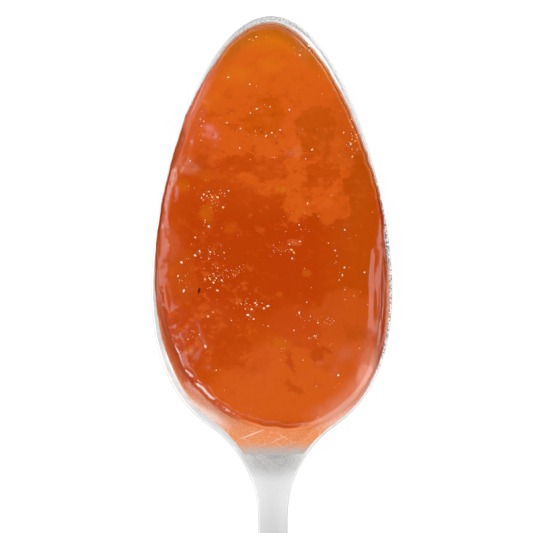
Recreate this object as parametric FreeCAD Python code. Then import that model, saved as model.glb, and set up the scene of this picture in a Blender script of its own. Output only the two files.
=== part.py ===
"""A table spoon heaped with apricot jam, lying on a table.

Two solids share one frame, in millimetres: the pressed steel spoon and the set jam in its bowl.
+Z is up, +Y runs from the end of the handle to the tip of the bowl, and the origin lies on the
table, half way along the spoon. The spoon rests on the belly of its bowl and the end of its handle.

Every height is a function of the place in plan. A grid of such heights becomes one smooth
surface, and the plan outline, as an upright prism, is cut by the surfaces above and below it.
"""

import FreeCAD, Part

import math
import os

Vector = FreeCAD.Vector

# --- Spoon, in plan --------------------------------------------------------------------------
OVERALL_LENGTH = 205.0
BOWL_LENGTH = 73.7  # of the egg, from the tip to where it would close behind the neck
BOWL_HALF_WIDTH = 19.9  # at the middle of the bowl's length
BOWL_TAPER = 0.277  # how much narrower the tip is than the shoulders
BOWL_FULLNESS = 0.092  # how much both ends are filled out
RIM_WIDTH = 1.1  # lip between the outline and the hollow
SHOULDER_RADIUS = 19.0  # inside corner between bowl and neck
NECK_WIDTH = 5.0
HANDLE_END_WIDTH = 21.0
HANDLE_END_LENGTH = 13.0  # of the half oval that closes the handle
HANDLE_FLARE = 1.7  # power by which the handle widens towards its end

# --- Spoon, in height ------------------------------------------------------------------------
BOWL_DEPTH = 8.6
BOWL_ROUNDNESS = 1.2  # 1 is a parabola across the bowl, more is flatter below, steeper at the rim
FLOOR_THICKNESS = 1.3
RIM_THICKNESS = 0.8
NECK_THICKNESS = 2.7
HANDLE_END_THICKNESS = 1.7
HOLLOW_PAST_EGG = 3.3  # how far the hollow runs into the neck, past the end of the egg
HOLLOW_EASE = 1.0  # how steep the hollow ends in the neck, where 0 runs out level
HOLLOW_SQUARENESS = 8.0  # how long the hollow keeps its width before it closes in the neck
HEEL_SOFTNESS = 0.15  # how gently the belly runs into the underside of the handle
TIP_RISE = 0.5  # of the lip at the tip, above the lip at the middle of the bowl
NECK_RISE = 2.4  # of the lip where the bowl meets the neck
ARCH_HEIGHT = 21.0  # top of the handle's arch above the table
ARCH_FROM_TIP = 116.0
MID_HANDLE_SHARE = 0.55  # height half way from the arch to the rest, as a share of the arch
HANDLE_REST_FROM_END = 9.0  # where the handle touches the table
HANDLE_END_LIFT = 0.8
HANDLE_CROWN = 0.35  # how much the handle's upper face falls towards its edges
REST_FLAT_DEPTH = 0.1  # worn off the belly and the handle's end, so that they stand flat
LIP_BEVEL = 0.12  # depth taken off the corner between the lip and the hollow
EDGE_FILLET = 0.25

# --- Jam -------------------------------------------------------------------------------------
JAM_LEVEL = 0.5  # of its middle above the lip
JAM_FOLLOW = 0.75  # share of the lip's rise that the jam follows
JAM_GAP_TIP = 1.4  # bare edge between the bowl's outline and the jam, at the tip
JAM_GAP_RIGHT = 0.9  # the same at the right side
JAM_GAP_NECK = 2.9  # at the neck
JAM_GAP_LEFT = 0.5  # at the left side, where the jam laps on to the lip
# The same in the directions between, in degrees clockwise from the tip as seen from above.
JAM_GAPS_BETWEEN = ((55, 1.2), (123, 2.0), (145, 0.7), (160, 1.2), (198, 3.8), (220, 3.0))
JAM_GAPS_BETWEEN += ((237, 1.7), (300, 0.35), (335, 0.4))
# Soft lumps of fruit under the top: place across, place along from the bowl's middle, reach, height.
JAM_LUMPS = ((15.2, -23.0, 4.2, 0.45), (-10.3, 16.8, 2.4, 0.4), (-14.5, -9.5, 3.0, 0.3))
JAM_LUMPS += ((5.0, 11.5, 3.5, 0.2), (-15.5, 10.0, 2.2, 0.25), (2.5, -25.0, 5.0, 0.15))
JAM_SIDE_SLOPE = 1.25  # rise of the jam's side over its run, where it leaves the steel
JAM_SIDE_BLEND = 0.35  # how gently the side turns into the top
JAM_RIDGE_HEIGHT = 0.4  # of the soft ridge that runs round just inside the edge
JAM_RIDGE_INSET = 2.4
JAM_RIDGE_WIDTH = 1.4
# Slow waves of the top: height, length across, length along, start as a share of a turn.
JAM_WAVES = ((0.22, 31.0, 46.0, 0.1), (0.16, 17.0, -29.0, 0.55), (0.10, -11.0, 19.0, 0.3))

# --- Surfaces --------------------------------------------------------------------------------
GRID_PLATE = 3.0  # spacing of the heights that a surface passes through
GRID_BOWL = 2.0
GRID_JAM = 0.85
GRID_MARGIN = 2.0  # by which a surface runs past the outline
OUTLINE_STEPS = 20  # points of each quarter of the egg's outline
DEEP = 40.0  # height of the blocks that stand under or over the surfaces
JAM_SKIRT = 0.15  # by which the jam's blank runs past its edge before the steel trims it

TIP_Y = OVERALL_LENGTH / 2
END_Y = -OVERALL_LENGTH / 2
BOWL_HALF_LENGTH = BOWL_LENGTH / 2
BOWL_MIDDLE_Y = TIP_Y - BOWL_HALF_LENGTH
BOWL_END_Y = TIP_Y - BOWL_LENGTH


# --- Small helpers ----------------------------------------------------------------------------
def graph(points):
    """A smooth curve through (place, height) pairs, as a function of the place."""
    points = sorted(points)
    curve = Part.BSplineCurve()
    curve.interpolate(
        Points=[Vector(place, height, 0) for place, height in points],
        Parameters=[place for place, _ in points],
    )
    first, last = points[0][0], points[-1][0]
    return lambda place: curve.value(min(max(place, first), last)).y


def places(low, high, spacing):
    """Evenly spaced places from low to high, at most spacing apart."""
    count = math.ceil((high - low) / spacing)
    return [low + (high - low) * i / count for i in range(count + 1)]


def smooth_step(value):
    value = min(max(value, 0.0), 1.0)
    return value * value * (3 - 2 * value)


def ramp(value, softness):
    """value where it is above 0, and 0 where it is below, with the corner rounded."""
    scaled = value / softness
    return value if scaled > 30 else softness * math.log1p(math.exp(scaled))


# --- The bowl's egg shape ---------------------------------------------------------------------
def egg_taper(place):
    return 1 - BOWL_TAPER * place + BOWL_FULLNESS * place**2


def egg_half_width(y, inset=0.0):
    """Half the width of an egg that lies inset inside the bowl's outline."""
    place = (y - BOWL_MIDDLE_Y) / (BOWL_HALF_LENGTH - inset)
    return (BOWL_HALF_WIDTH - inset) * egg_taper(place) * math.sqrt(max(1 - place**2, 0.0))


def egg_measure(x, y, inset):
    """0 in the middle of the egg, 1 all along its edge, and more outside."""
    place = (y - BOWL_MIDDLE_Y) / (BOWL_HALF_LENGTH - inset)
    half_width = (BOWL_HALF_WIDTH - inset) * egg_taper(place)
    return (x / half_width) ** 2 + place**2


def egg_share(x, y, inset):
    """1 in the middle of the egg, 0 all along its edge, and less than 0 outside."""
    return 1 - egg_measure(x, y, inset) ** BOWL_ROUNDNESS


def inside_egg(x, y):
    """About how far a place lies inside the bowl's outline."""
    step = 0.05
    slope_x = (egg_measure(x + step, y, 0.0) - egg_measure(x - step, y, 0.0)) / (2 * step)
    slope_y = (egg_measure(x, y + step, 0.0) - egg_measure(x, y - step, 0.0)) / (2 * step)
    return (1 - egg_measure(x, y, 0.0)) / max(math.hypot(slope_x, slope_y), 0.02)


# --- Neck and handle --------------------------------------------------------------------------
def shoulder(inset):
    """Where the egg, inset, turns into the shoulder arc, and the centre of that arc."""
    low, high = BOWL_END_Y + inset + 0.01, BOWL_MIDDLE_Y
    for _ in range(50):
        y = (low + high) / 2
        x = egg_half_width(y, inset)
        run = egg_half_width(y + 0.001, inset) - egg_half_width(y - 0.001, inset)
        outward = Vector(0.002, -run, 0).normalize()
        centre = Vector(x, y, 0) + outward * (SHOULDER_RADIUS + inset)
        if centre.x > NECK_WIDTH / 2 + SHOULDER_RADIUS:
            high = y
        else:
            low = y
    return Vector(x, y, 0), centre


SHOULDER_START, SHOULDER_CENTRE = shoulder(0.0)
HOLLOW_START, HOLLOW_CENTRE = shoulder(RIM_WIDTH)
NECK_Y = SHOULDER_CENTRE.y


def hollow_half_width(y):
    """Half the width of the hollow's sides in plan: egg, then the shoulder arc, inside the lip."""
    if y > HOLLOW_START.y:
        return egg_half_width(y, RIM_WIDTH)
    fall = max(y - HOLLOW_CENTRE.y, 0.0)
    return HOLLOW_CENTRE.x - math.sqrt((SHOULDER_RADIUS + RIM_WIDTH) ** 2 - fall**2)


def handle_half_width(y):
    """Half the width of the handle below the neck, closed by a half oval at its end."""
    run = max((NECK_Y - y) / (NECK_Y - END_Y), 0.0)
    straight = NECK_WIDTH / 2 + (HANDLE_END_WIDTH - NECK_WIDTH) / 2 * run**HANDLE_FLARE
    into_end = max(1 - (y - END_Y) / HANDLE_END_LENGTH, 0.0)
    return straight * math.sqrt(max(1 - into_end**2, 0.0))


REST_Y = END_Y + HANDLE_REST_FROM_END
ARCH_Y = TIP_Y - ARCH_FROM_TIP
MID_HANDLE_Y = (ARCH_Y + REST_Y) / 2
THICKENS_FROM_Y = BOWL_END_Y + BOWL_LENGTH * 0.22


def thickness(y):
    """Of the steel: thin along the lip, thickest at the neck, thinner again to the handle's end."""
    into_neck = smooth_step((THICKENS_FROM_Y - y) / (THICKENS_FROM_Y - NECK_Y))
    along_handle = max((NECK_Y - y) / (NECK_Y - END_Y), 0.0)
    neck_part = (NECK_THICKNESS - RIM_THICKNESS) * into_neck
    return RIM_THICKNESS + neck_part - (NECK_THICKNESS - HANDLE_END_THICKNESS) * along_handle


RIM_HEIGHT = BOWL_DEPTH + FLOOR_THICKNESS - REST_FLAT_DEPTH
REST_HEIGHT = thickness(REST_Y) - REST_FLAT_DEPTH

# Height of the lip along the bowl, and of the upper face along the handle.
SIDE_LINE = graph(
    [
        (TIP_Y, RIM_HEIGHT + TIP_RISE),
        (BOWL_MIDDLE_Y, RIM_HEIGHT),
        (BOWL_MIDDLE_Y - BOWL_LENGTH / 4, RIM_HEIGHT + NECK_RISE * 0.2),
        (BOWL_END_Y, RIM_HEIGHT + NECK_RISE),
        (ARCH_Y, ARCH_HEIGHT),
        (MID_HANDLE_Y, ARCH_HEIGHT * MID_HANDLE_SHARE),
        (REST_Y, REST_HEIGHT),
        (END_Y, REST_HEIGHT + HANDLE_END_LIFT),
    ]
)


# --- Heights of the steel ---------------------------------------------------------------------
def plate_height(x, y):
    """The upper face as if there were no hollow: the lip, and the crowned handle."""
    on_handle = smooth_step((BOWL_END_Y - y) / (BOWL_END_Y - NECK_Y))
    across = x / max(handle_half_width(max(y, END_Y + HANDLE_END_LENGTH)), NECK_WIDTH / 2)
    return SIDE_LINE(y) - HANDLE_CROWN * on_handle * min(across**2, 4.0)


def hollow_share(x, y):
    """1 at the deepest place of the hollow, 0 along its edge, and less than 0 outside.

    The front half is an egg inside the lip. The back half keeps beside the lip round the
    shoulders, and its floor rises into the neck.
    """
    if y > BOWL_MIDDLE_Y:
        return egg_share(x, y, RIM_WIDTH)
    across = (abs(x) / hollow_half_width(y)) ** (2 * BOWL_ROUNDNESS)
    place = (BOWL_MIDDLE_Y - y) / (BOWL_HALF_LENGTH + HOLLOW_PAST_EGG)
    floor_place = min(place, 0.98)
    floor = 1 - floor_place ** (2 * BOWL_ROUNDNESS)
    floor *= (floor + HOLLOW_EASE) / (1 + HOLLOW_EASE)
    return (1 - across - place**HOLLOW_SQUARENESS) * floor / (1 - floor_place**HOLLOW_SQUARENESS)


def hollow_height(x, y):
    """The inside of the bowl. It crosses the lip at the hollow's edge and levels off above it."""
    share = hollow_share(x, y)
    return SIDE_LINE(y) - BOWL_DEPTH * (share if share > 0 else share / (1 - share))


def bevel_height(x, y):
    """A surface half way between lip and hollow, just under the corner where they meet."""
    return (hollow_height(x, y) + plate_height(x, y)) / 2 - LIP_BEVEL


def under_height(x, y):
    """The belly of the bowl, running softly into the underside of the handle."""
    share = egg_share(x, y, 0.0)
    behind = smooth_step((BOWL_MIDDLE_Y - y) / BOWL_HALF_LENGTH / 0.6 - 0.5)
    share += (ramp(share, HEEL_SOFTNESS * behind + 0.01) - share) * behind
    drop = BOWL_DEPTH + FLOOR_THICKNESS - RIM_THICKNESS
    return SIDE_LINE(y) - thickness(y) - drop * share


# --- The jam's free surface -------------------------------------------------------------------
JAM_GAPS = ((0, JAM_GAP_TIP), (90, JAM_GAP_RIGHT), (180, JAM_GAP_NECK), (270, JAM_GAP_LEFT))
JAM_GAPS += JAM_GAPS_BETWEEN
GAP_AT = graph([(degrees + turn, gap) for degrees, gap in JAM_GAPS for turn in (-360, 0, 360)])


def inside_jam(x, y):
    """About how far a place lies inside the jam's edge."""
    degrees = math.degrees(math.atan2(x, y - BOWL_MIDDLE_Y)) % 360
    return inside_egg(x, y) - GAP_AT(degrees)


def waves(x, y):
    return sum(
        height * math.sin(math.tau * (x / across + y / along + start))
        for height, across, along, start in JAM_WAVES
    )


def lumps(x, y):
    return sum(
        height * math.exp(-((x - across) ** 2 + (y - BOWL_MIDDLE_Y - along) ** 2) / reach**2)
        for across, along, reach, height in JAM_LUMPS
    )


def jam_height(x, y):
    """The jam's top: a level middle, a soft ridge, and sides that come down to the steel."""
    inside = inside_jam(x, y)
    ridge = JAM_RIDGE_HEIGHT * math.exp(-(((inside - JAM_RIDGE_INSET) / JAM_RIDGE_WIDTH) ** 2))
    level = RIM_HEIGHT + JAM_FOLLOW * (SIDE_LINE(y) - RIM_HEIGHT) + JAM_LEVEL
    top = level + waves(x, y) + lumps(x, y) + ridge
    side = min(hollow_height(x, y), plate_height(x, y)) + JAM_SIDE_SLOPE * inside
    return top - ramp(top - side, JAM_SIDE_BLEND)


# --- Solids -----------------------------------------------------------------------------------
def block(height, low, high, spacing, tall):
    """The solid between a surface of heights and its copy moved by tall, over a plan rectangle."""
    surface = Part.BSplineSurface()
    surface.interpolate(
        [
            [Vector(x, y, height(x, y)) for y in places(low[1], high[1], spacing)]
            for x in places(low[0], high[0], spacing)
        ]
    )
    return surface.toShape().extrude(Vector(0, 0, tall))


def closed_curve(points):
    """A smooth closed edge through points."""
    curve = Part.BSplineCurve()
    curve.interpolate(Points=points, PeriodicFlag=True)
    return curve.toShape()


def spoon_outline():
    """The plan outline: egg, two shoulder arcs, and the handle with its rounded end."""
    start_turn = math.acos((SHOULDER_START.y - BOWL_MIDDLE_Y) / BOWL_HALF_LENGTH)
    turns = [start_turn * i / (2 * OUTLINE_STEPS) for i in range(2 * OUTLINE_STEPS + 1)]
    ys = [BOWL_MIDDLE_Y + BOWL_HALF_LENGTH * math.cos(turn) for turn in turns]
    right = [Vector(egg_half_width(y), y, 0) for y in ys]
    arc_turn = math.atan2(SHOULDER_START.y - NECK_Y, SHOULDER_CENTRE.x - SHOULDER_START.x)
    for i in range(1, 9):
        turn = arc_turn * (1 - i / 8)
        spoke = Vector(-math.cos(turn), math.sin(turn), 0) * SHOULDER_RADIUS
        right.append(SHOULDER_CENTRE + spoke)
    oval_turns = [math.pi / 2 * i / 8 for i in range(8, -1, -1)]
    ys = places(END_Y + HANDLE_END_LENGTH, NECK_Y, 7.0)[-2:0:-1]
    ys += [END_Y + HANDLE_END_LENGTH * (1 - math.cos(turn)) for turn in oval_turns]
    right += [Vector(handle_half_width(y), y, 0) for y in ys]
    left = [Vector(-point.x, point.y, 0) for point in reversed(right[1:-1])]
    return closed_curve(right + left)


def jam_outline():
    """The jam's plan outline, a little outside its edge."""
    points = []
    for i in range(4 * OUTLINE_STEPS):
        turn = math.tau * i / (4 * OUTLINE_STEPS)
        near, far = 0.0, BOWL_LENGTH
        for _ in range(40):
            reach = (near + far) / 2
            x, y = reach * math.sin(turn), BOWL_MIDDLE_Y + reach * math.cos(turn)
            if inside_jam(x, y) > -JAM_SKIRT:
                near = reach
            else:
                far = reach
        points.append(Vector(x, y, 0))
    return closed_curve(points)


def prism(outline, bottom, top):
    """An upright prism over a closed plan outline."""
    face = Part.Face(Part.Wire([outline]))
    face.translate(Vector(0, 0, bottom))
    return face.extrude(Vector(0, 0, top - bottom))


def rounded(solid, radius, height):
    """The solid with every edge rounded that runs along a surface of heights."""
    chosen = []
    for edge in solid.Edges:
        first, last = edge.ParameterRange
        spots = [edge.valueAt(first + (last - first) * share) for share in (0.1, 0.3, 0.5, 0.7, 0.9)]
        if all(abs(spot.z - height(spot.x, spot.y)) < 0.15 for spot in spots):
            chosen.append(edge)
    return solid.makeFillet(radius, chosen)


def main():
    widest = max(egg_half_width(y) for y in places(BOWL_END_Y, TIP_Y, 0.5)) + GRID_MARGIN
    low, high = (-widest, END_Y - GRID_MARGIN), (widest, TIP_Y + GRID_MARGIN)
    bowl_low = (-widest, BOWL_END_Y - HOLLOW_PAST_EGG - GRID_MARGIN)

    # The steel as if it reached down for ever, first with sharp and then with softened edges.
    under_plate = block(plate_height, low, high, GRID_PLATE, -DEEP)
    over_hollow = block(hollow_height, bowl_low, high, GRID_BOWL, DEEP)
    blank = prism(spoon_outline(), -1.0, DEEP).common(under_plate)
    sharp = blank.cut(over_hollow)
    soft = rounded(blank, EDGE_FILLET, plate_height).cut(over_hollow)
    soft = soft.cut(block(bevel_height, bowl_low, high, GRID_BOWL, DEEP))

    # The spoon keeps the steel above its under face, and stands on two small flats.
    spoon = soft.cut(block(under_height, low, high, GRID_BOWL, -DEEP))
    spoon = rounded(spoon, EDGE_FILLET, under_height)
    below_table = Part.makeBox(2 * widest, 2 * OVERALL_LENGTH, DEEP, Vector(-widest, -OVERALL_LENGTH, -DEEP))
    spoon = spoon.cut(below_table)

    # The jam fills the bowl from the steel up to its own free surface.
    jam = prism(jam_outline(), 0.0, DEEP).common(block(jam_height, bowl_low, high, GRID_JAM, -DEEP))
    jam = jam.cut(sharp)

    os.makedirs("parts", exist_ok=True)
    spoon.exportStep("parts/spoon.step")
    jam.exportStep("parts/jam.step")


main()
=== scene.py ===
# %% [markdown]
# # A spoonful of apricot jam
# The CAD model holds two solids: a pressed steel table spoon and the jam in its bowl.
# This file gives them their looks. The steel keeps its CAD shape and only needs a finish. The jam
# needs a finer surface than CAD gives it, because almost all that one sees of a wet jelly is how
# its small bumps bend the reflections, and how thin it gets where it clings to the steel.

# %% Load the frame and measure it
import math

import bpy
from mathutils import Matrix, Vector, noise
from mathutils.bvhtree import BVHTree
from mathutils.kdtree import KDTree


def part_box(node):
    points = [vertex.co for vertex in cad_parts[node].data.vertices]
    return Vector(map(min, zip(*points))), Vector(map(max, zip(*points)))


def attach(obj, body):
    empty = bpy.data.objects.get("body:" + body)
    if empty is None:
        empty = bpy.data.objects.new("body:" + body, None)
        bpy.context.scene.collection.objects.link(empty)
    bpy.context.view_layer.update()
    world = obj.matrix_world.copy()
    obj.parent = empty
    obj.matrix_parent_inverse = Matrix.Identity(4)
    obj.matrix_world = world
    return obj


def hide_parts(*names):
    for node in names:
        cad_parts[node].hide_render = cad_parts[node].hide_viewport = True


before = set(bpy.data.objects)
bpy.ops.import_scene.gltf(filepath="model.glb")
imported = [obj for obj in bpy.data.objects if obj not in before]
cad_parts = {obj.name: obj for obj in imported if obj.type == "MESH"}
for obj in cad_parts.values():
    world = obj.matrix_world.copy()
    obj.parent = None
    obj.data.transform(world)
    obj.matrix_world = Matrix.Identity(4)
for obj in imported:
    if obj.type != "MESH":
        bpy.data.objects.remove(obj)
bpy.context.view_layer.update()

MM = 0.001  # Blender works in metres, and the sizes below are in millimetres


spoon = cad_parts["spoon"]

# %% [markdown]
# ## Feeling the CAD shapes
# The jam has to lie exactly on the steel. Rather than writing the bowl's curve a second time, the
# script feels for it: it drops a ray from above and reads the height where it lands. A BVH tree
# keeps the triangles sorted in space, which makes many thousands of such rays cheap. All places
# on the bowl are given by a direction from its middle, in degrees clockwise from the tip, and by
# a reach, because both the bowl and the jam are round in that sense.

# %% Rays that fall on the steel and on the jam
ABOVE = 60  # the rays start from this height
BOWL_LENGTH = 73.7
RIM_WITHIN = (8, 60)  # reaches between which the bowl's rim lies
PULLS, PULL = 40, 0.002  # a place off the steel is pulled in by this share, up to so many times
HALF_DEGREES = range(-320, 321)  # directions of the bowl's rim, all round but for the neck
NECK_FROM, NECK_STEP, NECK_STEPS = 18, 0.25, 60


def tree_of(node):
    """The triangles of a CAD node, in millimetres."""
    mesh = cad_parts[node].data
    corners = [vertex.co / MM for vertex in mesh.vertices]
    return BVHTree.FromPolygons(corners, [face.vertices for face in mesh.polygons])


STEEL, JAM = tree_of("spoon"), tree_of("jam")
MIDDLE_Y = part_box("spoon")[1][1] / MM - BOWL_LENGTH / 2


def height(tree, x, y):
    """Height of the first surface below a place, or None."""
    hit = tree.ray_cast(Vector((x, y, ABOVE)), Vector((0, 0, -1)))[0]
    return hit.z if hit else None


def steel_height(x, y):
    """Height of the steel at a place, or at the next place towards the bowl's middle with any."""
    for pull in range(PULLS):
        share = 1 - PULL * pull
        found = height(STEEL, x * share, MIDDLE_Y + (y - MIDDLE_Y) * share)
        if found is not None:
            return found


def place(degrees, reach):
    """Where a direction and a reach lead to."""
    turn = math.radians(degrees)
    return reach * math.sin(turn), MIDDLE_Y + reach * math.cos(turn)


def farthest(test, near, far, rounds=14):
    """The largest reach between near and far that passes a test, found by halving."""
    for _ in range(rounds):
        middle = (near + far) / 2
        if test(middle):
            near = middle
        else:
            far = middle
    return near


def rim_reach(degrees):
    """Reach of the spoon's outline in a direction."""
    return farthest(lambda reach: height(STEEL, *place(degrees, reach)) is not None, *RIM_WITHIN)


def tree_of_places(places):
    """A tree that finds the nearest of many places."""
    tree = KDTree(len(places))
    for index, (x, y) in enumerate(places):
        tree.insert((x, y, 0), index)
    tree.balance()
    return tree


rim_places = [place(half / 2, rim_reach(half / 2)) for half in HALF_DEGREES]
for step in range(NECK_STEPS):  # up both sides of the neck
    y = NECK_FROM + NECK_STEP * step
    x = farthest(lambda reach: height(STEEL, reach, y) is not None, 0, 30)
    rim_places += [(x, y), (-x, y)]
RIM = tree_of_places(rim_places)
print("rim felt at", len(rim_places), "places")

# %% [markdown]
# ## Where the jam ends
# Spooned jam ends twice. The thick mass ends first, in a rounded and slightly crumbly edge. Where
# it was a little fuller before, it leaves a thin film on the steel, up to the lip of the bowl and
# a short way into the neck. Both edges are written as one reach for each direction, so that one
# mesh can carry the mass and the film without a seam. The CAD solid gives the mass's edge, which
# then laps out a little here and there.

# %% Smooth steps and random bumps
STEPS = 480  # directions around the bowl


def ease(share):
    """A smooth step: 0 up to 0, 1 from 1 on, and without a corner at either."""
    share = min(max(share, 0), 1)
    return share * share * (3 - 2 * share)


def between(pairs, value):
    """Smooth steps between (place, value) pairs."""
    if value <= pairs[0][0]:
        return pairs[0][1]
    for (start, first), (end, last) in zip(pairs, pairs[1:]):
        if value <= end:
            return first + (last - first) * ease((value - start) / (end - start))
    return pairs[-1][1]


def window(degrees, start, end, soft):
    """1 between two directions and 0 outside, with soft ends."""
    middle, half = (start + end) / 2, (end - start) / 2
    away = abs((degrees - middle + 180) % 360 - 180) - half
    return ease(1 - away / soft)


def bumps(x, y, wide, long, layer):
    """Random bumps of a size in millimetres, from -1 to 1 and always the same. Layers differ."""
    return noise.noise(Vector((x / wide, y / long, layer)))


print("directions are", 360 / STEPS, "degrees apart")

# %% Edge of the mass, and edge of the film around it
FILM_FROM, FILM_TO = 92, 330  # between these directions a film lies outside the mass
FILM_END_Y = 27.1  # the film ends across the neck here

# How far inside the spoon's outline the film ends: direction and gap.
FILM_GAPS = ((92, 0.75), (120, 0.5), (150, 0.4), (165, 0.45), (180, 0.8), (200, 1.05), (216, 1.25))
FILM_GAPS += ((228, 0.95), (238, 0.7), (248, 0.5), (268, 0.25), (285, 0.15), (330, 0.15))

# How far the mass laps out beyond the CAD solid: from, to, softness and amount.
LAPS = (
    (285, 345, 12, 0.15),
    (35, 110, 15, 0.22),
    (22, 66, 14, 0.35),
    (168, 192, 12, 0.30),
    (214, 236, 12, 0.80),
)
CRUMBLY = (205, 245, 15)
OUT_TO_THE_LIP = (242, 318, 8)  # here the mass itself reaches the lip, and nearly no film is left
JAM_WITHIN = (8, 45)  # reaches between which its edges lie
NARROWEST_FILM = 0.25


def jam_on_top(x, y):
    """Whether one sees jam and not steel when looking down on a place."""
    jam = height(JAM, x, y)
    steel = height(STEEL, x, y)
    return jam is not None and (steel is None or jam > steel)


def mass_edge(degrees):
    """Reach of the mass's edge, and its place on the CAD solid."""
    cad = farthest(lambda reach: jam_on_top(*place(degrees, reach)), *JAM_WITHIN)
    x, y = place(degrees, cad)
    lap = sum(amount * window(degrees, *side) for *side, amount in LAPS)
    crumbly = 0.12 + 0.22 * window(degrees, *CRUMBLY)
    wobble = bumps(x, y, 2.1, 2.1, 0.7) + 0.5 * bumps(x, y, 1.0, 1.0, 3.1)
    return cad + lap - crumbly * wobble, x, y


def film_edge(degrees, mass, cad_x, cad_y):
    """Reach of the film's edge, felt from the mass outwards."""
    gap = between(FILM_GAPS, degrees) + 0.08 * bumps(cad_x, cad_y, 1.7, 1.7, 5.2)
    end_y = FILM_END_Y + 0.3 * bumps(cad_x, 0.5, 2.2, 1.0, 8.8)
    end_y += 0.35 * bumps(cad_x, 0.5, 0.6, 1.0, 2.8)

    def in_film(reach):
        x, y = place(degrees, reach)
        return y > end_y and height(STEEL, x, y) is not None and RIM.find((x, y, 0))[2] > gap

    return farthest(in_film, mass - 1, JAM_WITHIN[1])


mass_reach, film_reach = [], []
for step in range(STEPS):
    degrees = 360 * step / STEPS
    mass, cad_x, cad_y = mass_edge(degrees)
    film = film_edge(degrees, mass, cad_x, cad_y) if FILM_FROM <= degrees <= FILM_TO else mass
    out = window(degrees, *OUT_TO_THE_LIP)
    reach = mass + max(film - 0.1 - mass, 0) * out
    if degrees > OUT_TO_THE_LIP[0]:
        film = reach
    mass_reach.append(reach)
    film_reach.append(max(film, reach + NARROWEST_FILM - 0.12 * out))
MASS = tree_of_places([place(360 * i / STEPS, reach) for i, reach in enumerate(mass_reach)])
print("mass reaches", round(min(mass_reach), 1), "to", round(max(mass_reach), 1), "mm")
print("film is at most", round(max(f - m for f, m in zip(film_reach, mass_reach)), 1), "mm wide")

# %% [markdown]
# ## The top of the jam
# A set jam keeps the marks of the spoon. This one slopes down softly to the left, has a low step
# along the right, and ends in crumbs at the lower left and in a low ridge across the neck. Soft
# lumps of fruit lie under its skin. The broad level comes from the CAD solid, averaged a little
# so that its flat triangles don't show in the gloss. The small relief is added to it. It could be
# sculpted by hand, but written as sums of ridges, steps and bumps it stays easy to change, and
# each one is named here for the side of the bowl that it shapes.

# %% The broad level of the mass
SMOOTHING = 3.2  # radius over which the CAD level is averaged
LEVEL_INSET = 6.2  # from here outwards the averaged level is carried on, ever flatter
EIGHTHS = [math.tau * i / 8 for i in range(8)]
RING = [(SMOOTHING * math.cos(turn), SMOOTHING * math.sin(turn)) for turn in EIGHTHS]


def cad_level(x, y):
    """The CAD solid's top, averaged around a place. Places beyond its edge don't count."""
    heights = [height(JAM, x, y)]
    heights += [height(JAM, x + across, y + along) for across, along in RING]
    heights = [value for value in heights if value is not None]
    return sum(heights) / len(heights)


middle_level, middle_steel = cad_level(0, MIDDLE_Y), height(STEEL, 0, MIDDLE_Y)
print("jam is", round(middle_level - middle_steel, 1), "mm deep in the middle")

# %% Sides of the bowl and lumps of fruit
SIDES = {
    # from, to and softness, in degrees clockwise from the tip
    "tip": (335, 385, 20),
    "steep edge": (335, 440, 15),
    "right": (106, 138, 8),
    "lower right": (136, 152, 16),
    "neck": (165, 215, 20),
    "neck film": (165, 196, 16),
    "crumbled edge": (180, 240, 20),
    "crumbs": (205, 300, 30),
    "lower left": (208, 238, 14),
    "left film": (210, 250, 12),
    "left": (222, 330, 16),
    "upper left": (285, 325, 15),
    "fold": (308, 330, 8),
    "with film": (100, 315, 12),
}
AT = [
    {name: window(360 * step / STEPS, *side) for name, side in SIDES.items()}
    for step in range(STEPS)
]
LUMPS = (
    # across, along, reach across, reach along, height
    (12.2, 42.4, 2.6, 2.4, 0.30),
    (-10.6, 82.4, 1.3, 1.3, 0.30),
    (-14.6, 76.6, 2.0, 1.3, 0.30),
    (-17.0, 63.5, 1.7, 3.2, 0.30),
    (8.0, 42.2, 1.5, 0.6, 0.20),
    (-10.2, 42.2, 0.9, 1.0, 0.10),
    (4.4, 79.0, 1.4, 1.0, 0.10),
    (-15.4, 52.5, 2.2, 1.6, 0.22),
)


def mounds(x, y, table):
    """The sum of soft mounds, given as in the table of lumps."""
    return sum(
        rise * math.exp(-(((x - across) / wide) ** 2) - ((y - along) / long) ** 2)
        for across, along, wide, long, rise in table
    )


print(len(SIDES), "sides and", len(LUMPS), "lumps")

# %% The small relief along the edge


def ridge_line(inside, line, width):
    """A ridge along the edge: 1 on its line, which is that far inside, and 0 well beside it."""
    return math.exp(-(((inside - line) / width) ** 2))


def rounding(at, inside, coarse, broken):
    """How far the top falls towards the mass's edge: over a width, by a depth, along a bend.

    On the left a slack slope five millimetres wide is added to it.
    """
    left, upper_left, lower_left = at["left"], at["upper left"], at["lower left"]
    neck, corner = at["neck"], at["lower right"]
    wide = 0.9 + 1.0 * left + 0.8 * neck + 1.8 * corner - 0.3 * lower_left
    wide -= (0.7 - 0.5 * broken) * upper_left * left
    deep = 0.2 + 0.25 * left + 0.15 * neck + 0.30 * corner + 0.2 * lower_left
    deep += 0.08 * upper_left - 0.16 * (at["right"] + at["tip"])
    bend = 2.5 - 1.3 * max(upper_left, lower_left) - 0.9 * corner
    fall = deep * (1 + 0.35 * coarse) * max(1 - inside / wide, 0) ** bend
    return fall + 0.28 * left * (1 + 0.5 * broken) * max(1 - inside / 5.0, 0) ** 2


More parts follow.
